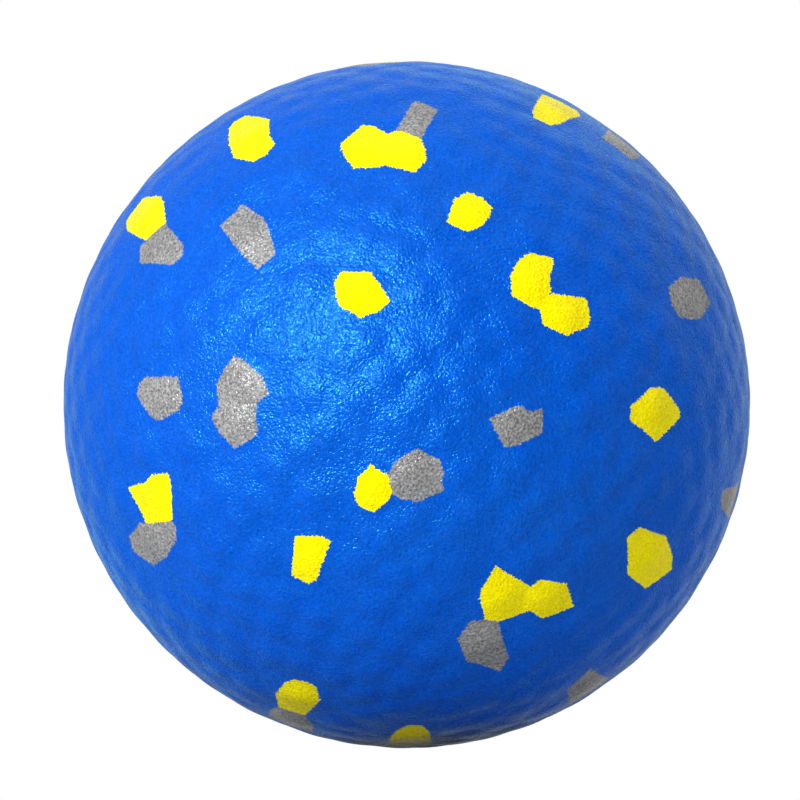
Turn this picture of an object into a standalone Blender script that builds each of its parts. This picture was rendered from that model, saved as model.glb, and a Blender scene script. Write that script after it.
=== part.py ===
"""Dog ball moulded from foam beads, for Blender 4.5.

Small foam beads are steamed together in a ball mould. Most of them are blue and fuse into one block,
whose skin shows the beads as low pebbles. Yellow and grey beads sit among them, each in its own pocket.
The origin is the middle of the ball, +Z is up, and the ball is seen from the front along +Y.
"""

import itertools
import math
import random

import bmesh
import bpy
from mathutils import Vector

# Driving dimensions, in metres
MM = 0.001
BALL_DIAMETER = 68.6 * MM
BEAD_PITCH = 4.2 * MM  # middle to middle of neighbouring beads on the skin
SEAM_DEPTH = 0.25 * MM  # from a bead's crown down to the seams round it
BEAD_DEPTH = 4.2 * MM  # from the skin to the inner end of a coloured bead
SHOULDER_DEPTH = 2.4 * MM  # from the skin to where a coloured bead starts to round off
BEAD_CLEARANCE = 0.3 * MM  # between a coloured bead and what is round it
CUTTER_RISE = 1.0 * MM  # how far a pocket's cutter stands out of the skin

# Widths of a coloured bead below its face, as shares of the face
SHOULDER_WIDTH = 0.92
FLOOR_WIDTH = 0.5

# The spread of the beads
SEED = 11
SITE_JITTER = 0.17  # how far a bead strays from an even spread, as a share of the pitch
FAR_BEAD_COUNT = 26  # coloured beads on the side that the front view doesn't show
FAR_GROUPS = (2, 1, 3, 1, 1, 2)  # how many of them touch, group after group
FAR_COLOURS = ("yellow", "grey", "grey", "yellow", "yellow", "grey", "yellow")
SHARP_ANGLE = math.radians(40)  # a steeper bend than this is shaded as an edge

# Faces of the coloured beads, drawn on a front view: x to the right and z up from the ball's middle
DRAWING_UNIT = 0.1 * MM
DRAWN_RADIUS = 34.3 * MM  # the ball's outline in that view
LIMB_SHARE = 0.943  # past this share of the outline, a corner carries on round the side at a steady rate
YELLOW_FACES = (
    ((-162, 290), (-138, 286), (-137, 269), (-132, 261), (-141, 250), (-154, 243), (-173, 247),
     (-178, 260), (-178, 277), (-174, 283)),
    ((-66, 258), (-65, 262), (-52, 273), (-44, 280), (-33, 279), (-19, 271), (-22, 239), (-35, 237),
     (-53, 237), (-61, 246)),
    ((-19, 271), (-11, 274), (-5, 274), (14, 266), (18, 256), (20, 245), (9, 233), (5, 233),
     (-10, 237), (-22, 239)),
    ((139, 317), (157, 310), (175, 300), (176, 292), (153, 281), (143, 280), (127, 287), (126, 295)),
    ((-266, 208), (-247, 209), (-243, 202), (-241, 182), (-250, 175), (-261, 164), (-280, 174),
     (-283, 186), (-279, 192), (-271, 202)),
    ((61, 213), (75, 207), (86, 197), (82, 187), (74, 178), (61, 173), (40, 182), (48, 206)),
    ((-66, 133), (-36, 133), (-16, 104), (-27, 94), (-46, 87), (-66, 98), (-71, 108), (-72, 124)),
    ((123, 152), (145, 147), (147, 142), (143, 126), (144, 112), (133, 96), (126, 97), (105, 109),
     (104, 130), (111, 144)),
    ((144, 112), (180, 106), (184, 84), (181, 78), (160, 69), (136, 80), (133, 96)),
    ((244, 17), (254, 17), (260, 13), (274, -7), (273, -14), (250, -37), (224, -16), (224, -1),
     (235, 8)),
    ((-36, -60), (-25, -67), (-19, -69), (-16, -81), (-15, -89), (-19, -97), (-33, -108), (-47, -102),
     (-53, -91), (-49, -73)),
    ((-279, -83), (-261, -77), (-255, -70), (-238, -68), (-235, -90), (-235, -116), (-260, -119),
     (-268, -103)),
    ((-112, -131), (-86, -132), (-76, -136), (-82, -153), (-90, -175), (-98, -179), (-115, -171),
     (-114, -153)),
    ((233, -122), (259, -132), (266, -151), (265, -165), (239, -184), (221, -170), (221, -133)),
    ((89, -161), (124, -182), (123, -206), (92, -217), (79, -215), (73, -195), (75, -184)),
    ((124, -182), (134, -175), (160, -179), (167, -202), (136, -214), (123, -206)),
    ((-122, -278), (-113, -275), (-98, -278), (-90, -283), (-87, -296), (-102, -311), (-113, -308),
     (-128, -303), (-131, -289)),
    ((-20, -349), (-15, -331), (-10, -326), (1, -321), (15, -321), (23, -328), (25, -349), (3, -352)),
)
GREY_FACES = (
    ((6, 302), (11, 304), (32, 295), (14, 266), (-5, 274), (-11, 274), (-2, 288)),
    ((196, 268), (208, 284), (225, 271), (241, 257), (229, 246), (223, 248), (212, 257)),
    ((-241, 182), (-223, 159), (-225, 148), (-235, 140), (-267, 141), (-267, 159), (-261, 164),
     (-250, 175)),
    ((-165, 201), (-141, 185), (-131, 151), (-149, 135), (-167, 153), (-187, 179), (-175, 189)),
    ((262, 118), (275, 128), (293, 125), (304, 102), (295, 87), (285, 85), (273, 88), (265, 100)),
    ((-260, 28), (-229, 28), (-226, 15), (-224, 3), (-228, -6), (-249, -16), (-256, -12), (-270, 9),
     (-268, 22)),
    ((-172, 49), (-160, 42), (-145, 28), (-138, 12), (-150, 1), (-188, -2), (-191, 20), (-183, 35)),
    ((-188, -2), (-150, 1), (-151, -13), (-149, -25), (-153, -33), (-172, -44), (-185, -31),
     (-195, -15), (-194, -9)),
    ((83, -14), (96, -7), (109, -1), (115, -1), (124, -7), (137, -3), (135, -29), (112, -40),
     (97, -43)),
    ((-16, -65), (-13, -59), (0, -49), (11, -44), (33, -55), (37, -69), (35, -76), (37, -86),
     (12, -97), (-6, -94), (-15, -89), (-16, -81), (-19, -69)),
    ((-266, -118), (-260, -119), (-235, -116), (-231, -121), (-231, -136), (-240, -151), (-253, -161),
     (-274, -147), (-278, -132)),
    ((63, -217), (79, -215), (92, -217), (96, -236), (102, -253), (93, -267), (74, -260), (60, -257),
     (51, -235)),
    ((-142, -322), (-137, -307), (-134, -304), (-128, -303), (-113, -308), (-102, -311), (-94, -323),
     (-97, -338), (-120, -331)),
    ((317, -85), (343, -80), (338, -100), (332, -118), (316, -105), (315, -92)),
    ((184, -264), (209, -281), (190, -296), (167, -310), (161, -286), (172, -275)),
)

# Worked out from the driving dimensions
BALL_RADIUS = BALL_DIAMETER / 2
HALF_CLEARANCE = BEAD_CLEARANCE / 2
BEAD_AREA = BEAD_PITCH ** 2 * math.sqrt(3) / 2
BLUE_SITE_COUNT = round(4 * math.pi * BALL_RADIUS ** 2 / BEAD_AREA)
GOLDEN_ANGLE = math.pi * (3 - math.sqrt(5))

# Finishes: colour, roughness
FINISHES = {
    "blue": ((0.004, 0.130, 0.780, 1.0), 0.45),
    "yellow": ((0.930, 0.800, 0.004, 1.0), 0.5),
    "grey": ((0.300, 0.300, 0.300, 1.0), 0.5),
}


def clear_scene():
    for obj in list(bpy.data.objects):
        bpy.data.objects.remove(obj, do_unlink=True)


def new_collection(name):
    collection = bpy.data.collections.new(name)
    bpy.context.scene.collection.children.link(collection)
    return collection


def foam_material(colour):
    """Moulded foam skin of one colour, matt with a slight shine."""
    base_colour, roughness = FINISHES[colour]
    material = bpy.data.materials.new(f"{colour}_foam")
    material.use_nodes = True
    shader = material.node_tree.nodes["Principled BSDF"]
    shader.inputs["Base Color"].default_value = base_colour
    shader.inputs["Roughness"].default_value = roughness
    shader.inputs["Metallic"].default_value = 0.0
    material.diffuse_color = base_colour
    return material


def drawn_direction(x, z):
    """Where a corner of the front view lies on the ball, as a direction from its middle."""
    share = math.hypot(x, z) * DRAWING_UNIT / DRAWN_RADIUS
    tilt = math.asin(min(share, LIMB_SHARE))
    if share > LIMB_SHARE:
        tilt += (share - LIMB_SHARE) / math.cos(tilt)
    bearing = math.atan2(z, x)
    across = math.sin(tilt)
    return Vector((across * math.cos(bearing), -math.cos(tilt), across * math.sin(bearing)))


def signed_area(outline):
    return sum(a.cross(b) for a, b in zip(outline, outline[1:] + outline[:1])) / 2


def flat_face(directions):
    """A bead's face as its outward axis and its corners in the plane that touches the ball there."""
    axis = sum(directions, Vector()).normalized()
    to_local = axis.to_track_quat("Z", "Y").inverted()
    outline = []
    for direction in directions:
        local = to_local @ direction
        outline.append(local.xy * (BALL_RADIUS / local.z))
    if signed_area(outline) < 0:
        outline.reverse()
    return axis, outline


def offset_outline(outline, distance):
    """The outline with every side moved out by a distance, or in where it is negative."""
    moved = []
    for before, corner, after in zip(outline[-1:] + outline[:-1], outline, outline[1:] + outline[:1]):
        side_in = (corner - before).normalized()
        side_out = (after - corner).normalized()
        out_in = Vector((side_in.y, -side_in.x))
        out_out = Vector((side_out.y, -side_out.x))
        moved.append(corner + (out_in + out_out) * (distance / (1 + out_in.dot(out_out))))
    return moved


def inside_outline(point, outline):
    inside = False
    for a, b in zip(outline, outline[1:] + outline[:1]):
        if (a.y > point.y) == (b.y > point.y):
            continue
        crossing = a.x + (b.x - a.x) * (point.y - a.y) / (b.y - a.y)
        inside ^= point.x < crossing
    return inside


def covered(site, faces):
    """True where a blue bead would run into one of the drawn faces."""
    for axis, outline in faces:
        local = axis.to_track_quat("Z", "Y").inverted() @ site
        if local.z <= 0:
            continue
        if inside_outline(local.xy * (BALL_RADIUS / local.z), offset_outline(outline, BEAD_PITCH / 2)):
            return True
    return False


def bead_sites(drawn_faces, chance):
    """Middles of all beads on the skin: an even spiral with some stray, led round the drawn faces."""
    stray = SITE_JITTER * BEAD_PITCH / BALL_RADIUS
    sites = [axis for axis, _ in drawn_faces]
    for k in range(BLUE_SITE_COUNT):
        height = 1 - (2 * k + 1) / BLUE_SITE_COUNT
        across = math.sqrt(1 - height ** 2)
        site = Vector((across * math.cos(k * GOLDEN_ANGLE), across * math.sin(k * GOLDEN_ANGLE), height))
        site += Vector([chance.uniform(-stray, stray) for _ in range(3)])
        site.normalize()
        if not covered(site, drawn_faces):
            sites.append(site)
    return sites


def pebbled_ball(sites):
    """The fused block before its pockets: a pebble on every site, with seams between them."""
    ball = bmesh.new()
    crowns = [ball.verts.new(site * BALL_RADIUS) for site in sites]
    bmesh.ops.convex_hull(ball, input=crowns)
    bridges = list(ball.edges)
    seams = bmesh.ops.poke(ball, faces=list(ball.faces))["verts"]
    bmesh.ops.rotate_edges(ball, edges=bridges, use_ccw=True)
    for seam in seams:
        seam.co = seam.co.normalized() * (BALL_RADIUS - SEAM_DEPTH)
    bmesh.ops.recalc_face_normals(ball, faces=list(ball.faces))
    return ball, crowns


def pebble_directions(crown):
    """Corners of the seam round one pebble, in order."""
    to_local = crown.co.to_track_quat("Z", "Y").inverted()
    corners = [edge.other_vert(crown).co.normalized() for edge in crown.link_edges]

    def bearing(direction):
        local = to_local @ direction
        return math.atan2(local.y, local.x)

    return sorted(corners, key=bearing)


def far_pebbles(crowns, drawn_corners):
    """Coloured pebbles where the front view doesn't reach: small groups, each in the widest empty place."""
    taken = [corner * BALL_RADIUS for corner in drawn_corners]
    chosen = []

    def room(crown):
        return min((crown.co - place).length for place in taken)

    for size in itertools.cycle(FAR_GROUPS):
        middle = max((crown for crown in crowns if crown.co.y > 0), key=room)
        group = sorted(crowns, key=lambda crown: (crown.co - middle.co).length)[:size]
        chosen += group
        taken += [crown.co for crown in group]
        if len(chosen) >= FAR_BEAD_COUNT:
            return chosen[:FAR_BEAD_COUNT]


def plug_mesh(name, outline, top_depth, crown_depth, floor_depth):
    """A loft from a bead's face down to its inner end, in a frame whose +Z points out of the ball."""
    plug = bmesh.new()
    loops = []
    for width, depth in ((1.0, top_depth), (SHOULDER_WIDTH, SHOULDER_DEPTH), (FLOOR_WIDTH, floor_depth)):
        ring = []
        for corner in outline:
            ray = Vector((*(corner * width), BALL_RADIUS)).normalized()
            ring.append(plug.verts.new(ray * (BALL_RADIUS - depth) - Vector((0, 0, BALL_RADIUS))))
        loops.append(ring)
    for upper, lower in itertools.pairwise(loops):
        for k in range(len(outline)):
            plug.faces.new((upper[k - 1], lower[k - 1], lower[k], upper[k]))
    for ring, depth in ((loops[0], crown_depth), (loops[-1], floor_depth)):
        hub = bmesh.ops.poke(plug, faces=[plug.faces.new(ring)])["verts"][0]
        hub.co = (0, 0, -depth)
    bmesh.ops.recalc_face_normals(plug, faces=list(plug.faces))
    mesh = bpy.data.meshes.new(name)
    plug.to_mesh(mesh)
    plug.free()
    return mesh


def place_plug(name, mesh, axis, parent, collection):
    """Sets a plug on the skin, with its +Z along the bead's outward axis."""
    obj = bpy.data.objects.new(name, mesh)
    obj.parent = parent
    obj.location = axis * BALL_RADIUS
    obj.rotation_mode = "QUATERNION"
    obj.rotation_quaternion = axis.to_track_quat("Z", "Y")
    collection.objects.link(obj)
    return obj


def shade(obj, material):
    obj.data.shade_smooth()
    obj.data.set_sharp_from_angle(angle=SHARP_ANGLE)
    obj.data.materials.append(material)


def coloured_bead(name, face, material, parent, collection):
    axis, outline = face
    own_outline = offset_outline(outline, -HALF_CLEARANCE)
    mesh = plug_mesh(name, own_outline, SEAM_DEPTH, 0.0, BEAD_DEPTH)
    shade(place_plug(name, mesh, axis, parent, collection), material)


def pocket_cutter(name, face, parent, collection):
    axis, outline = face
    own_outline = offset_outline(outline, HALF_CLEARANCE)
    mesh = plug_mesh(name, own_outline, -CUTTER_RISE, -CUTTER_RISE, BEAD_DEPTH + BEAD_CLEARANCE)
    cutter = place_plug(name, mesh, axis, parent, collection)
    cutter.hide_render = True
    cutter.display_type = "WIRE"


def blue_body(ball, material, parent, collection, cutters):
    """The fused blue beads, with a pocket cut for every coloured bead."""
    mesh = bpy.data.meshes.new("blue_bead_body")
    ball.to_mesh(mesh)
    body = bpy.data.objects.new("blue_bead_body", mesh)
    body.parent = parent
    collection.objects.link(body)
    shade(body, material)
    pockets = body.modifiers.new("pockets", "BOOLEAN")
    pockets.operation = "DIFFERENCE"
    pockets.operand_type = "COLLECTION"
    pockets.collection = cutters
    pockets.solver = "EXACT"


def main():
    clear_scene()
    parts = new_collection("dog_ball")
    cutters = new_collection("pocket_cutters")
    middle = bpy.data.objects.new("ball_middle", None)
    parts.objects.link(middle)
    materials = {colour: foam_material(colour) for colour in FINISHES}
    chance = random.Random(SEED)

    drawn = {
        "yellow": [[drawn_direction(*corner) for corner in face] for face in YELLOW_FACES],
        "grey": [[drawn_direction(*corner) for corner in face] for face in GREY_FACES],
    }
    faces = {colour: [flat_face(directions) for directions in drawn[colour]] for colour in drawn}
    ball, crowns = pebbled_ball(bead_sites(faces["yellow"] + faces["grey"], chance))
    drawn_corners = list(itertools.chain(*drawn["yellow"], *drawn["grey"]))
    far_colours = itertools.cycle(FAR_COLOURS)
    for crown in far_pebbles(crowns, drawn_corners):
        faces[next(far_colours)].append(flat_face(pebble_directions(crown)))

    for colour, colour_faces in faces.items():
        for number, face in enumerate(colour_faces, 1):
            name = f"{colour}_bead_{number:02d}"
            coloured_bead(name, face, materials[colour], middle, parts)
            pocket_cutter(f"{name}_pocket", face, middle, cutters)
    blue_body(ball, materials["blue"], middle, parts, cutters)
    ball.free()


main()
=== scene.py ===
"""Looks of the moulded foam-bead dog ball, laid out as a Blender add-on.

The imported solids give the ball's radius, the middles of its beads and the outlines of the coloured ones. From
these the skin is made as one fine mesh, with a low pebble on every bead, and parted along the outlines into the
blue block and the coloured beads. Each piece is closed: beads reach down into the block, and the block has a
pocket for each.
"""

import functools
import math

import bmesh
import bpy
import numpy as np
from bpy.props import FloatProperty, FloatVectorProperty, PointerProperty
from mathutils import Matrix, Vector, noise as solid_noise


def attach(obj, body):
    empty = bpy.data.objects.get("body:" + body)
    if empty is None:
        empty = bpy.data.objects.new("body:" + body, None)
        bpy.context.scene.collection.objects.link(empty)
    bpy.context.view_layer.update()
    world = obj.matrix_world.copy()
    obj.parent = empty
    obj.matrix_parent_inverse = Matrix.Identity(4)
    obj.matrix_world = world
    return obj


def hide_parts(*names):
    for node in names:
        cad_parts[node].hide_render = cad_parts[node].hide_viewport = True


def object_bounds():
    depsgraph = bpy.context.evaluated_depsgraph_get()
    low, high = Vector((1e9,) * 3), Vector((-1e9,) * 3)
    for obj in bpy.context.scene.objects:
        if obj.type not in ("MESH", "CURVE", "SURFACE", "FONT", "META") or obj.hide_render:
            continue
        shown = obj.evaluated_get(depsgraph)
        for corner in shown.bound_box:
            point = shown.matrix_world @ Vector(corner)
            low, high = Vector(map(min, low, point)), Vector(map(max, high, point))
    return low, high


bl_info = {
    "name": "Foam-bead dog ball",
    "version": (1, 0, 0),
    "blender": (4, 5, 0),
    "location": "3D View > Sidebar > Dog ball",
    "description": "Dresses the packed dog ball: pebbled skin, coloured beads, foam finishes and a plain stage",
    "category": "Object",
}

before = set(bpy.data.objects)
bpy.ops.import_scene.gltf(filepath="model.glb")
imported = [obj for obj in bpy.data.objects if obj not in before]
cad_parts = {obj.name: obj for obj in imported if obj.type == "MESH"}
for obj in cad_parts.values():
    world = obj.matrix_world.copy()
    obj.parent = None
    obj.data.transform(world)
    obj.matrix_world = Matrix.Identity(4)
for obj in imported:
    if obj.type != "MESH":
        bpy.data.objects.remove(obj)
CAD_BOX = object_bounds()
MM = 0.001

# The skin's mesh
FIRST_SPLIT = 4  # subdivisions of the first ball of triangles
SECOND_CUTS = 8  # cuts across each of its edges
OUTLINE_BANDS = (0.65 * MM, 0.28 * MM)  # how near an outline the triangles are halved, and halved again
SCATTER = 0.028 * MM  # how far corners stray sideways, which breaks up the even rows of triangles
SEED = 7  # of that stray
NEAREST_BEADS = 5  # beads whose pebbles meet at one point, at most
BLEND_PARTS = 10  # domes run into each other over one of this many parts of the seam depth
POINTS_AT_ONCE = 8000  # keeps the table of distances to all beads small
RAGGED_REACH = 2  # teeth are worked out up to this many times their depth from an edge
SHARP_ANGLE = math.radians(40)  # sides that turn by more than this stay sharp

# Noises in the foam: detail, roughness and distortion of each
GRAIN_NOISE = (0.7, 0.5, 0.4)
WRINKLE_NOISE = (1.5, 0.5, 0.5)
DRIFT_NOISE = (2.0, 0.5, 0.0)
SPECKLE_NOISE = (1.0, 0.5, 0.0)
NOISE_RANGE = (0.3, 0.7)  # values between which a noise mostly stays

# The stage
WHITE = (1.0, 1.0, 1.0, 1.0)
FLOOR_RADIUS = 1.5
FLOOR_SIDES = 96
CAMERA_DISTANCE = 0.3
CAMERA_CLIP = (0.01, 10.0)
KEY_PLACE = (-0.282, -0.48, 0.222)  # middle of the main softbox
WALL_PLACE = (0.12, 0.95, 0.15)  # toward the pale wall behind the ball, as the shine shows it
WALL_EDGES = (0.75, 1.0)  # cosines of the angles from there at which the wall in the shine begins and is full
LIGHT_PLACE = (-0.4, 0.9, 0.4)  # toward the middle of the ring of light from the sides, behind the ball
LIGHT_RISE = (-0.29, 0.04)  # cosines of the angles from there at which that light begins and is full
LIGHT_FALL = (0.04, 1.0)  # and of those at which it begins to give way to the light from behind, and has


# What the solids say

SAME_POINT_DIGITS = 6  # corners that agree to this many decimals of a metre are one
CROWN_DEPTH = 0.005 * MM  # corners within this of the full radius are crowns
RIM_DEPTH = 1.0 * MM  # a bead's other corners within this of the full radius are its rim
RIM_MARGIN = 2.0 * MM  # how far out from its rim a bead still counts as near
CLEARANCE = 0.3 * MM  # between the solid of a bead and its pocket


def solid_points(node):
    """Corners of a CAD node, each one once."""
    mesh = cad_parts[node].data
    points = np.empty(len(mesh.vertices) * 3)
    mesh.vertices.foreach_get("co", points)
    points = points.reshape(-1, 3)
    _, first = np.unique(points.round(SAME_POINT_DIGITS), axis=0, return_index=True)
    return points[np.sort(first)]


def radii(points):
    """Distances from the ball's middle."""
    return np.linalg.norm(points, axis=-1)


def unit(points):
    """Directions from the ball's middle."""
    return points / radii(points)[..., None]


POINTS = {node: solid_points(node) for node in sorted(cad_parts)}
BALL_RADIUS = max(radii(points).max() for points in POINTS.values())
YELLOW = [node for node in POINTS if node.startswith("yellow")]
GREY = [node for node in POINTS if node.startswith("grey")]
BEADS = YELLOW + GREY
BLUE = "blue_bead_body"
BEAD_DEPTH = BALL_RADIUS - min(radii(POINTS[bead]).min() for bead in BEADS)


def crowns():
    """Directions of the middles of all beads on the skin."""
    points = np.concatenate(list(POINTS.values()))
    found = unit(points[radii(points) > BALL_RADIUS - CROWN_DEPTH])
    kept = []
    for direction in found:
        if not kept or np.max(np.array(kept) @ direction) < 1 - CROWN_DEPTH / BALL_RADIUS:
            kept.append(direction)
    return np.array(kept)


class Outline:
    """The face of a coloured bead: its outward axis and its rim in the plane that touches the ball there."""

    def __init__(self, bead):
        points = POINTS[bead]
        depths = BALL_RADIUS - radii(points)
        self.axis = unit(points[np.argmin(depths)])
        turn = Vector(self.axis).to_track_quat("Z", "Y").to_matrix()
        self.across = np.array(turn)[:, :2]
        rim = self.flat(unit(points[(depths > CROWN_DEPTH) & (depths < RIM_DEPTH)]))
        self.rim = rim[np.argsort(np.arctan2(rim[:, 1], rim[:, 0]))]
        self.reach = math.cos((np.linalg.norm(self.rim, axis=1).max() + RIM_MARGIN) / BALL_RADIUS)

    def flat(self, directions):
        """Where directions meet that plane."""
        return directions @ self.across / (directions @ self.axis)[:, None] * BALL_RADIUS

    def signed_distance(self, directions):
        """Distance to the bead's edge, negative inside, half the clearance out from the solid's rim."""
        points = self.flat(directions)[:, None]
        start = self.rim[None]
        side = np.roll(self.rim, -1, axis=0)[None] - start
        offset = points - start
        along = np.clip((offset * side).sum(-1) / (side ** 2).sum(-1), 0, 1)
        distance = np.linalg.norm(offset - along[..., None] * side, axis=-1).min(1)
        rises = (offset[..., 1] < 0) != (offset[..., 1] < side[..., 1])
        safe = np.where(rises, side[..., 1], 1)
        left = rises & (offset[..., 0] < side[..., 0] * offset[..., 1] / safe)
        inside = left.sum(1) % 2 == 1
        return np.where(inside, -distance, distance) - CLEARANCE / 2


OUTLINES = [Outline(bead) for bead in BEADS]


def nearest_bead(directions):
    """The coloured bead nearest to each direction, and the signed distance to that bead's edge."""
    nearest = np.full(len(directions), -1)
    distance = np.full(len(directions), np.inf)
    for number, outline in enumerate(OUTLINES):
        close = np.flatnonzero(directions @ outline.axis > outline.reach)
        found = outline.signed_distance(directions[close])
        better = found < distance[close]
        nearest[close[better]] = number
        distance[close[better]] = found[better]
    return nearest, distance


# The skin


def triangulate(ball):
    bmesh.ops.triangulate(ball, faces=[face for face in ball.faces if len(face.verts) > 3])


def fine_ball():
    """Directions and triangles of a fine ball, finer along the outlines of the coloured beads."""
    ball = bmesh.new()
    bmesh.ops.create_icosphere(ball, subdivisions=FIRST_SPLIT, radius=1.0)
    bmesh.ops.subdivide_edges(ball, edges=ball.edges[:], cuts=SECOND_CUTS, use_grid_fill=True)
    triangulate(ball)
    for band in OUTLINE_BANDS:
        middles = unit(np.array([edge.verts[0].co + edge.verts[1].co for edge in ball.edges]))
        near = np.abs(nearest_bead(middles)[1]) < band
        bmesh.ops.subdivide_edges(ball, edges=[edge for edge, close in zip(ball.edges, near) if close], cuts=1)
        triangulate(ball)
    ball.verts.index_update()
    directions = unit(np.array([vert.co for vert in ball.verts]))
    triangles = np.array([[vert.index for vert in face.verts] for face in ball.faces])
    ball.free()
    chance = np.random.default_rng(SEED)
    directions = unit(directions + chance.normal(scale=SCATTER / BALL_RADIUS, size=directions.shape))
    return directions, triangles


def pebble_depth(directions, middles, seam_depth, dome_reach):
    """How far the skin lies below the full radius: every bead is a low dome, and the domes run into each other."""
    depth = np.empty(len(directions))
    softness = seam_depth / BLEND_PARTS
    for part in np.array_split(np.arange(len(directions)), len(directions) // POINTS_AT_ONCE + 1):
        chord = 2 - 2 * (directions[part] @ middles.T)
        nearest = np.partition(chord, NEAREST_BEADS, axis=1)[:, :NEAREST_BEADS]
        share = nearest * (BALL_RADIUS / dome_reach) ** 2
        dome = -seam_depth * (1 - np.exp(-share))
        depth[part] = -softness * np.log(np.exp(dome / softness).sum(1))
    return depth


def all_sides(triangles):
    """The three sides of every triangle, in its own order."""
    return np.concatenate([triangles[:, [0, 1]], triangles[:, [1, 2]], triangles[:, [2, 0]]])


def side_pairs(triangles):
    """The sides of a closed skin, and the two triangles at each."""
    sides = np.sort(all_sides(triangles), axis=1)
    order = np.lexsort((sides[:, 1], sides[:, 0]))
    return sides[order][::2], (order % len(triangles)).reshape(-1, 2)


def drop_islands(pairs, owner):
    """Triangles cut off from the rest of their piece go to the piece around them."""
    first, second = pairs[owner[pairs[:, 0]] == owner[pairs[:, 1]]].T
    island = np.arange(len(owner))
    while True:
        lower = np.minimum(island[first], island[second])
        joined = island.copy()
        np.minimum.at(joined, first, lower)
        np.minimum.at(joined, second, lower)
        joined = joined[joined]
        if (joined == island).all():
            break
        island = joined
    found, times = np.unique(island, return_counts=True)
    largest = {}
    for place in np.argsort(times):
        largest[owner[found[place]]] = found[place]
    stray = ~np.isin(island, list(largest.values()))
    for one, other in np.concatenate([pairs, pairs[:, ::-1]]):
        if stray[one] and not stray[other]:
            owner[island == island[one]] = owner[other]
            stray[island == island[one]] = False


def mend_pinches(triangles, sides, pairs, owner):
    """Where a piece would touch itself at a single corner, one piece takes all triangles round that corner."""
    while True:
        owners = owner[pairs]
        border = owners[:, 0] != owners[:, 1]
        ends = np.repeat(sides[border], 2, axis=1)
        touching = np.column_stack([ends.ravel(), np.tile(owners[border], 2).ravel()])
        found, times = np.unique(touching, axis=0, return_counts=True)
        pinched = np.unique(found[times > 2, 0])
        if not len(pinched):
            return
        for corner in pinched:
            ring = np.flatnonzero((triangles == corner).any(1))
            kinds, votes = np.unique(owner[ring], return_counts=True)
            owner[ring] = kinds[np.argmax(votes)]


def corner_normals(points, triangles):
    """Normals at the points, each led by the triangles round it."""
    corners = points[triangles]
    outward = np.cross(corners[:, 1] - corners[:, 0], corners[:, 2] - corners[:, 0])
    normals = np.zeros_like(points)
    for corner in triangles.T:
        np.add.at(normals, corner, outward)
    return unit(normals)


@functools.cache
def parted_skin(seam_depth, relief, dome_reach, ragged_depth, ragged_size):
    """Points, normals and triangles of the whole skin, with the piece that each triangle belongs to."""
    directions, triangles = fine_ball()
    centres = unit(directions[triangles].sum(1))
    nearest, distance = nearest_bead(centres)
    for place in np.flatnonzero(np.abs(distance) < RAGGED_REACH * ragged_depth):
        tooth = solid_noise.noise(Vector(centres[place] * (BALL_RADIUS / ragged_size)))
        distance[place] += ragged_depth * tooth
    owner = np.where(distance < 0, nearest, -1)
    sides, pairs = side_pairs(triangles)
    drop_islands(pairs, owner)
    mend_pinches(triangles, sides, pairs, owner)
    depth = pebble_depth(directions, crowns(), seam_depth, dome_reach)[:, None]
    normals = corner_normals(directions * (BALL_RADIUS - depth * relief), triangles)
    return directions * (BALL_RADIUS - depth), normals, triangles, owner


def border_sides(triangles):
    """Sides that only one of the triangles has, in that triangle's order."""
    sides = all_sides(triangles)
    _, kind, times = np.unique(np.sort(sides, axis=1), axis=0, return_inverse=True, return_counts=True)
    return sides[times[kind.ravel()] == 1]


def wall_faces(edge, below):
    """Four-cornered faces from an edge down to the points that lie below it."""
    return np.column_stack([edge[:, 0], edge[:, 1], edge[:, 1] + below, edge[:, 0] + below])


def closed_piece(name, points, normals, faces, material):
    """A mesh object of the given faces, without unused points. The first faces are the skin, with its normals."""
    used, packed = np.unique(np.concatenate([face.ravel() for face in faces]), return_inverse=True)
    mesh = bpy.data.meshes.new(name)
    lists = []
    for face in faces:
        lists += packed.ravel()[: face.size].reshape(face.shape).tolist()
        packed = packed.ravel()[face.size:]
    mesh.from_pydata(points[used].tolist(), [], lists)
    mesh.shade_smooth()
    mesh.set_sharp_from_angle(angle=SHARP_ANGLE)
    by_corner = np.zeros((len(mesh.loops), 3))
    by_corner[: faces[0].size] = normals[faces[0].ravel()]
    mesh.normals_split_custom_set(by_corner.tolist())
    mesh.materials.append(material)
    piece = bpy.data.objects.new(name, mesh)
    bpy.context.scene.collection.objects.link(piece)
    return piece


def fit(piece, node):
    """Tie a piece to the solid that it stands for."""
    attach(piece, "root")
    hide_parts(node)


# Finishes


def link(tree, value, socket):
    """Set a socket to a number, or lead the output of another node to it."""
    if isinstance(value, (int, float)):
        socket.default_value = value
    else:
        tree.links.new(value, socket)


def noise(tree, place, size, kind):
    """A noise of the given size, fixed to the object."""
    node = tree.nodes.new("ShaderNodeTexNoise")
    node.inputs["Scale"].default_value = 1 / size
    for name, value in zip(("Detail", "Roughness", "Distortion"), kind):
        node.inputs[name].default_value = value
    link(tree, place.outputs["Object"], node.inputs["Vector"])
    return node.outputs["Fac"]


def step(tree, operation, first, second):
    """One sum; each side is a number or the output of another node."""
    node = tree.nodes.new("ShaderNodeMath")
    node.operation = operation
    for socket, value in zip(node.inputs, (first, second)):
        link(tree, value, socket)
    return node.outputs["Value"]


def fade(tree, value, edges, ends):
    """A number that goes from one end to the other as the value passes from one edge to the other."""
    node = tree.nodes.new("ShaderNodeMapRange")
    node.inputs["From Min"].default_value, node.inputs["From Max"].default_value = edges
    node.inputs["To Min"].default_value, node.inputs["To Max"].default_value = ends
    link(tree, value, node.inputs["Value"])
    return node.outputs["Result"]


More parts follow.
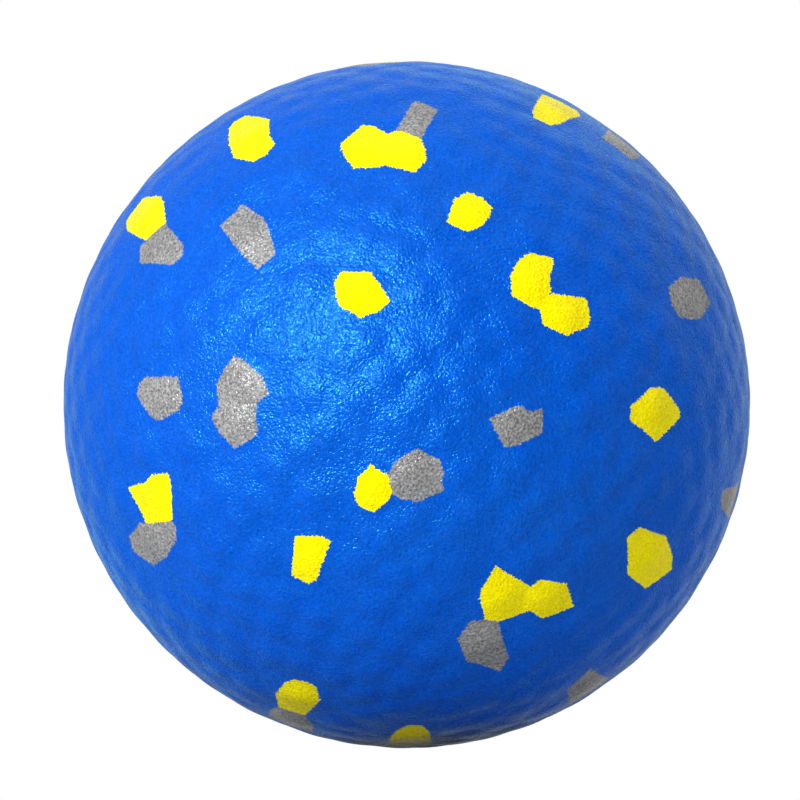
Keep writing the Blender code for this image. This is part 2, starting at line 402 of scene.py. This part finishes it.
def facing(tree, place, direction):
    """Cosine of the angle between the way to a place and a fixed direction."""
    node = tree.nodes.new("ShaderNodeVectorMath")
    node.operation = "DOT_PRODUCT"
    node.inputs[1].default_value = Vector(direction).normalized()
    link(tree, place, node.inputs[0])
    return node.outputs["Value"]


def blend(tree, share, first, second):
    """A number between two, of which each is a number or the output of another node."""
    node = tree.nodes.new("ShaderNodeMix")
    for name, value in (("Factor", share), ("A", first), ("B", second)):
        link(tree, value, node.inputs[name])
    return node.outputs["Result"]


def foam_finish(colour_name, finish):
    """Moulded foam skin: one colour with a slight drift, a fine embossed grain with painted shade in its low parts,
    a broken shine and a pale bloom.
    """
    parts = ("", "_tones", "_glint", "_bloom")
    colour, tones, glint, bloom = (getattr(finish, colour_name + part) for part in parts)
    material = bpy.data.materials.new(f"{colour_name}_foam_skin")
    material.use_nodes = True
    tree = material.node_tree
    shader = tree.nodes["Principled BSDF"]
    place = tree.nodes.new("ShaderNodeTexCoord")
    grain = noise(tree, place, finish.grain_size, GRAIN_NOISE)
    wrinkle = noise(tree, place, finish.wrinkle_size, WRINKLE_NOISE)
    drift = noise(tree, place, finish.drift_size, DRIFT_NOISE)
    speckle = noise(tree, place, finish.speckle_size, SPECKLE_NOISE)

    hue = tree.nodes.new("ShaderNodeMix")
    hue.data_type = "RGBA"
    hue.inputs["A"].default_value = (*[value * (1 - tones) for value in colour], 1.0)
    hue.inputs["B"].default_value = (*[min(value * (1 + tones), 1.0) for value in colour], 1.0)
    tone = step(tree, "MULTIPLY", drift, finish.drift)
    tone = step(tree, "ADD", tone, step(tree, "MULTIPLY", speckle, finish.speckle))
    # Painted shade: the low parts of the grain are darkened in the base colour, standing in for shade in its
    # creases.
    tone = step(tree, "ADD", tone, step(tree, "MULTIPLY", grain, finish.painted_crease_shade))
    middle = 0.5 - (finish.drift + finish.speckle + finish.painted_crease_shade) / 2
    link(tree, step(tree, "ADD", tone, middle), hue.inputs["Factor"])
    link(tree, hue.outputs["Result"], shader.inputs["Base Color"])

    ends = finish.roughness - finish.roughness_spread, finish.roughness + finish.roughness_spread
    link(tree, fade(tree, wrinkle, NOISE_RANGE, ends), shader.inputs["Roughness"])

    swell = step(tree, "MULTIPLY", wrinkle, finish.wrinkle_depth / finish.grain_depth)
    bump = tree.nodes.new("ShaderNodeBump")
    bump.inputs["Strength"].default_value = 1.0
    bump.inputs["Distance"].default_value = finish.grain_depth
    link(tree, step(tree, "ADD", swell, grain), bump.inputs["Height"])
    link(tree, bump.outputs["Normal"], shader.inputs["Normal"])

    shader.inputs["Specular IOR Level"].default_value = finish.specular
    shader.inputs["Specular Tint"].default_value = (*glint, 1.0)
    shader.inputs["Sheen Weight"].default_value = finish.bloom
    shader.inputs["Sheen Roughness"].default_value = finish.bloom_width
    shader.inputs["Sheen Tint"].default_value = (*bloom, 1.0)
    return material


# Settings that a user would change


class DogBallSkin(bpy.types.PropertyGroup):
    """Sizes of the pebbled skin"""

    seam_depth: FloatProperty(
        name="Seam depth",
        description="How far the seams between beads can lie below their crowns",
        default=0.14 * MM,
        unit="LENGTH",
        precision=5,
    )
    relief: FloatProperty(
        name="Relief",
        description="How many times deeper the seams look than they are, through the normals",
        default=3.9,
    )
    dome_reach: FloatProperty(
        name="Dome reach",
        description="Distance from a bead's crown at which its dome has nearly run out",
        default=2.4 * MM,
        unit="LENGTH",
        precision=5,
    )
    ragged_depth: FloatProperty(
        name="Ragged edge",
        description="How far the teeth of the coloured edges reach",
        default=0.21 * MM,
        unit="LENGTH",
        precision=5,
    )
    ragged_size: FloatProperty(
        name="Ragged spacing",
        description="Distance between the teeth of the coloured edges",
        default=0.15 * MM,
        unit="LENGTH",
        precision=5,
    )
    bead_taper: FloatProperty(
        name="Bead taper",
        description="How much narrower a coloured bead is at its inner end",
        default=0.1,
        subtype="FACTOR",
    )


class DogBallFinish(bpy.types.PropertyGroup):
    """Colours and surface of the foam"""

    blue: FloatVectorProperty(
        name="Blue", description="Colour of the fused block", default=(0.0, 0.08, 0.575), subtype="COLOR"
    )
    yellow: FloatVectorProperty(
        name="Yellow", description="Colour of the yellow beads", default=(1.0, 0.8, 0.002), subtype="COLOR"
    )
    grey: FloatVectorProperty(
        name="Grey", description="Colour of the grey beads", default=(0.24, 0.24, 0.24), subtype="COLOR"
    )
    blue_glint: FloatVectorProperty(
        name="Blue glint", description="Tint of the shine on blue", default=(0.12, 0.88, 1.0), subtype="COLOR"
    )
    yellow_glint: FloatVectorProperty(
        name="Yellow glint", description="Tint of the shine on yellow", default=(1.0, 1.0, 0.0), subtype="COLOR"
    )
    grey_glint: FloatVectorProperty(
        name="Grey glint", description="Tint of the shine on grey", default=(1.0, 1.0, 1.0), subtype="COLOR"
    )
    blue_bloom: FloatVectorProperty(
        name="Blue bloom", description="Tint of the bloom on blue", default=(0.12, 0.6, 1.0), subtype="COLOR"
    )
    yellow_bloom: FloatVectorProperty(
        name="Yellow bloom", description="Tint of the bloom on yellow", default=(1.0, 0.8, 0.03), subtype="COLOR"
    )
    grey_bloom: FloatVectorProperty(
        name="Grey bloom", description="Tint of the bloom on grey", default=(0.5, 0.5, 0.5), subtype="COLOR"
    )
    bloom: FloatProperty(
        name="Bloom",
        description="Strength of the pale bloom where the skin turns away",
        default=0.27,
        subtype="FACTOR",
    )
    bloom_width: FloatProperty(
        name="Bloom width", description="How far in from the edge the bloom reaches", default=0.35, subtype="FACTOR"
    )
    blue_tones: FloatProperty(
        name="Blue tones",
        description="Share by which blue can grow lighter and darker",
        default=0.2,
        subtype="FACTOR",
    )
    yellow_tones: FloatProperty(
        name="Yellow tones", description="Share by which yellow can grow darker", default=0.15, subtype="FACTOR"
    )
    grey_tones: FloatProperty(
        name="Grey tones",
        description="Share by which grey can grow lighter and darker",
        default=0.5,
        subtype="FACTOR",
    )
    drift: FloatProperty(name="Drift", description="Strength of the broad lighter and darker areas", default=0.3)
    drift_size: FloatProperty(
        name="Drift size", description="Size of the lighter and darker areas", default=5.0 * MM, unit="LENGTH"
    )
    speckle: FloatProperty(
        name="Speckle", description="Strength of the fine lighter and darker specks", default=1.2
    )
    speckle_size: FloatProperty(
        name="Speckle size", description="Size of the fine specks", default=0.22 * MM, unit="LENGTH", precision=5
    )
    # Painted shade: how much the base colour is darkened in the low parts of the grain, standing in for shade in
    # its creases.
    painted_crease_shade: FloatProperty(
        name="Crease shade", description="How much darker the low parts of the grain are", default=2.0
    )
    grain_size: FloatProperty(
        name="Grain size", description="Size of the fine grain", default=0.25 * MM, unit="LENGTH", precision=5
    )
    grain_depth: FloatProperty(
        name="Grain depth", description="Height of the fine grain", default=0.15 * MM, unit="LENGTH", precision=5
    )
    wrinkle_size: FloatProperty(
        name="Wrinkle size", description="Width of the broad wrinkles", default=1.8 * MM, unit="LENGTH", precision=5
    )
    wrinkle_depth: FloatProperty(
        name="Wrinkle depth",
        description="Height of the broad wrinkles",
        default=0.2 * MM,
        unit="LENGTH",
        precision=5,
    )
    roughness: FloatProperty(
        name="Roughness", description="Mean roughness of the skin", default=0.27, subtype="FACTOR"
    )
    roughness_spread: FloatProperty(
        name="Roughness spread",
        description="How far the roughness strays either way",
        default=0.05,
        subtype="FACTOR",
    )
    specular: FloatProperty(
        name="Shine", description="Strength of the mirrored light", default=1.0, subtype="FACTOR"
    )


class DogBallStage(bpy.types.PropertyGroup):
    """Camera, lights and floor"""

    picture_width: FloatProperty(
        name="Picture width", description="Width of what the camera takes in", default=79.85 * MM, unit="LENGTH"
    )
    ball_right: FloatProperty(
        name="Ball to the right",
        description="How far right of the middle the ball sits",
        default=0.67 * MM,
        unit="LENGTH",
        precision=5,
    )
    ball_down: FloatProperty(
        name="Ball down",
        description="How far below the middle the ball sits",
        default=0.47 * MM,
        unit="LENGTH",
        precision=5,
    )
    key_power: FloatProperty(name="Key", description="Power of the main softbox", default=2.8, unit="POWER")
    key_size: FloatProperty(name="Key size", description="Width of the main softbox", default=0.12, unit="LENGTH")
    sides: FloatProperty(name="Sides", description="Light from the sides of the room", default=2.2, soft_max=4.0)
    back: FloatProperty(name="Back", description="Light from straight behind", default=0.9, soft_max=4.0)
    fill: FloatProperty(name="Fill", description="Light from the room in front", default=0.11, subtype="FACTOR")
    room: FloatProperty(
        name="Room", description="Brightness of the room that the skin mirrors", default=0.02, subtype="FACTOR"
    )
    wall: FloatProperty(
        name="Wall",
        description="Brightness of the wall behind that the skin mirrors",
        default=0.5,
        subtype="FACTOR",
    )
    floor_colour: FloatVectorProperty(
        name="Floor", description="Colour of the floor", default=(0.68, 0.68, 0.68), subtype="COLOR"
    )
    floor_lift: FloatProperty(
        name="Floor lift", description="Light that the floor adds for the viewer", default=0.4, subtype="FACTOR"
    )


# Operators


def skin_of(skin):
    return parted_skin(skin.seam_depth, skin.relief, skin.dome_reach, skin.ragged_depth, skin.ragged_size)


class DOGBALL_OT_blue_block(bpy.types.Operator):
    """Make the fused blue block, with a pocket for each coloured bead"""

    bl_idname = "dogball.blue_block"
    bl_label = "Blue block"

    def execute(self, context):
        skin, finish = context.scene.dog_ball_skin, context.scene.dog_ball_finish
        points, normals, triangles, owner = skin_of(skin)
        outer = triangles[owner < 0]
        pockets = triangles[owner >= 0]
        below = len(points)
        floor_share = 1 - (BEAD_DEPTH + CLEARANCE) / BALL_RADIUS
        faces = [outer, pockets + below, wall_faces(border_sides(pockets), below)]
        material = foam_finish("blue", finish)
        piece = closed_piece(
            "blue_block", np.concatenate([points, points * floor_share]), normals, faces, material
        )
        fit(piece, BLUE)
        return {"FINISHED"}


def coloured_beads(context, nodes, colour_name):
    """Beads of one colour: each has its part of the skin, walls and an inner end."""
    skin, finish = context.scene.dog_ball_skin, context.scene.dog_ball_finish
    points, normals, triangles, owner = skin_of(skin)
    material = foam_finish(colour_name, finish)
    for node in nodes:
        number = BEADS.index(node)
        face = triangles[owner == number]
        if not len(face):
            raise RuntimeError(f"{node} has no place on the skin")
        below = len(points)
        inner = unit(unit(points) * (1 - skin.bead_taper) + OUTLINES[number].axis * skin.bead_taper)
        faces = [face, face[:, ::-1] + below, wall_faces(border_sides(face)[:, ::-1], below)]
        piece = closed_piece(
            f"{node}_skin", np.concatenate([points, inner * (BALL_RADIUS - BEAD_DEPTH)]), normals, faces, material
        )
        fit(piece, node)


class DOGBALL_OT_yellow_beads(bpy.types.Operator):
    """Make the yellow beads"""

    bl_idname = "dogball.yellow_beads"
    bl_label = "Yellow beads"

    def execute(self, context):
        coloured_beads(context, YELLOW, "yellow")
        return {"FINISHED"}


class DOGBALL_OT_grey_beads(bpy.types.Operator):
    """Make the grey beads"""

    bl_idname = "dogball.grey_beads"
    bl_label = "Grey beads"

    def execute(self, context):
        coloured_beads(context, GREY, "grey")
        return {"FINISHED"}


def softbox(name, place, size, power):
    """A square soft light that faces the ball."""
    light = bpy.data.lights.new(name, "AREA")
    light.size = size
    light.energy = power
    lamp = bpy.data.objects.new(name, light)
    lamp.location = place
    lamp.rotation_mode = "QUATERNION"
    lamp.rotation_quaternion = (-Vector(place)).to_track_quat("-Z", "Y")
    lamp.visible_camera = False
    bpy.context.scene.collection.objects.link(lamp)


def seen_directly(tree):
    """1 for what the camera sees, and 1 for what it sees mirrored or through glass; both 0 for light on things."""
    path = tree.nodes.new("ShaderNodeLightPath")
    mirrored = step(tree, "MAXIMUM", path.outputs["Is Glossy Ray"], path.outputs["Is Transmission Ray"])
    return path.outputs["Is Camera Ray"], mirrored


class DOGBALL_OT_stage(bpy.types.Operator):
    """Make the floor, the white surroundings, the lights and the camera"""

    bl_idname = "dogball.stage"
    bl_label = "Stage"

    def execute(self, context):
        stage = context.scene.dog_ball_stage
        self.floor(stage)
        self.surroundings(context.scene, stage)
        softbox("key_softbox", KEY_PLACE, stage.key_size, stage.key_power)
        self.camera(context.scene, stage)
        context.scene.view_settings.view_transform = "Standard"
        return {"FINISHED"}

    def floor(self, stage):
        disc = bmesh.new()
        bmesh.ops.create_circle(disc, cap_ends=True, segments=FLOOR_SIDES, radius=FLOOR_RADIUS)
        mesh = bpy.data.meshes.new("floor")
        disc.to_mesh(mesh)
        disc.free()
        floor = bpy.data.objects.new("floor", mesh)
        floor.location.z = CAD_BOX[0].z
        floor.visible_glossy = False
        bpy.context.scene.collection.objects.link(floor)
        material = bpy.data.materials.new("pale_floor")
        material.use_nodes = True
        tree = material.node_tree
        shader = tree.nodes["Principled BSDF"]
        shader.inputs["Base Color"].default_value = (*stage.floor_colour, 1.0)
        shader.inputs["Roughness"].default_value = 1.0
        shader.inputs["Specular IOR Level"].default_value = 0.0
        shader.inputs["Emission Color"].default_value = WHITE
        lift = step(tree, "MULTIPLY", step(tree, "MAXIMUM", *seen_directly(tree)), stage.floor_lift)
        link(tree, lift, shader.inputs["Emission Strength"])
        mesh.materials.append(material)

    def surroundings(self, scene, stage):
        """White for the camera, a ring of soft light on the ball, and a dim room with a pale wall in its shine."""
        world = bpy.data.worlds.new("white_surroundings")
        world.use_nodes = True
        tree = world.node_tree
        place = tree.nodes.new("ShaderNodeTexCoord").outputs["Generated"]
        angle = facing(tree, place, LIGHT_PLACE)
        rise = fade(tree, angle, LIGHT_RISE, (stage.fill, stage.sides))
        light = step(tree, "MINIMUM", rise, fade(tree, angle, LIGHT_FALL, (stage.sides, stage.back)))
        shine = fade(tree, facing(tree, place, WALL_PLACE), WALL_EDGES, (stage.room, stage.wall))
        direct, mirrored = seen_directly(tree)
        falling = blend(tree, mirrored, light, shine)
        link(tree, blend(tree, direct, falling, 1.0), tree.nodes["Background"].inputs["Strength"])
        tree.nodes["Background"].inputs["Color"].default_value = WHITE
        scene.world = world

    def camera(self, scene, stage):
        data = bpy.data.cameras.new("camera")
        data.type = "ORTHO"
        data.ortho_scale = stage.picture_width
        data.clip_start, data.clip_end = CAMERA_CLIP
        camera = bpy.data.objects.new("camera", data)
        camera.location = (-stage.ball_right, -CAMERA_DISTANCE, stage.ball_down)
        camera.rotation_euler = (math.pi / 2, 0.0, 0.0)
        scene.collection.objects.link(camera)
        scene.camera = camera


class DOGBALL_PT_panel(bpy.types.Panel):
    """Steps and settings of the dog ball"""

    bl_idname = "DOGBALL_PT_panel"
    bl_label = "Dog ball"
    bl_space_type = "VIEW_3D"
    bl_region_type = "UI"
    bl_category = "Dog ball"

    def draw(self, context):
        for operator in STEPS:
            self.layout.operator(operator.bl_idname)
        for group in (context.scene.dog_ball_skin, context.scene.dog_ball_finish, context.scene.dog_ball_stage):
            box = self.layout.box()
            for name in group.__annotations__:
                box.prop(group, name)


STEPS = (DOGBALL_OT_blue_block, DOGBALL_OT_yellow_beads, DOGBALL_OT_grey_beads, DOGBALL_OT_stage)
CLASSES = (DogBallSkin, DogBallFinish, DogBallStage, *STEPS, DOGBALL_PT_panel)


def register():
    for cls in CLASSES:
        bpy.utils.register_class(cls)
    bpy.types.Scene.dog_ball_skin = PointerProperty(type=DogBallSkin)
    bpy.types.Scene.dog_ball_finish = PointerProperty(type=DogBallFinish)
    bpy.types.Scene.dog_ball_stage = PointerProperty(type=DogBallStage)


def unregister():
    del bpy.types.Scene.dog_ball_skin
    del bpy.types.Scene.dog_ball_finish
    del bpy.types.Scene.dog_ball_stage
    for cls in reversed(CLASSES):
        bpy.utils.unregister_class(cls)


def main():
    register()
    bpy.ops.dogball.blue_block()
    bpy.ops.dogball.yellow_beads()
    bpy.ops.dogball.grey_beads()
    bpy.ops.dogball.stage()


if __name__ == "__main__":
    main()
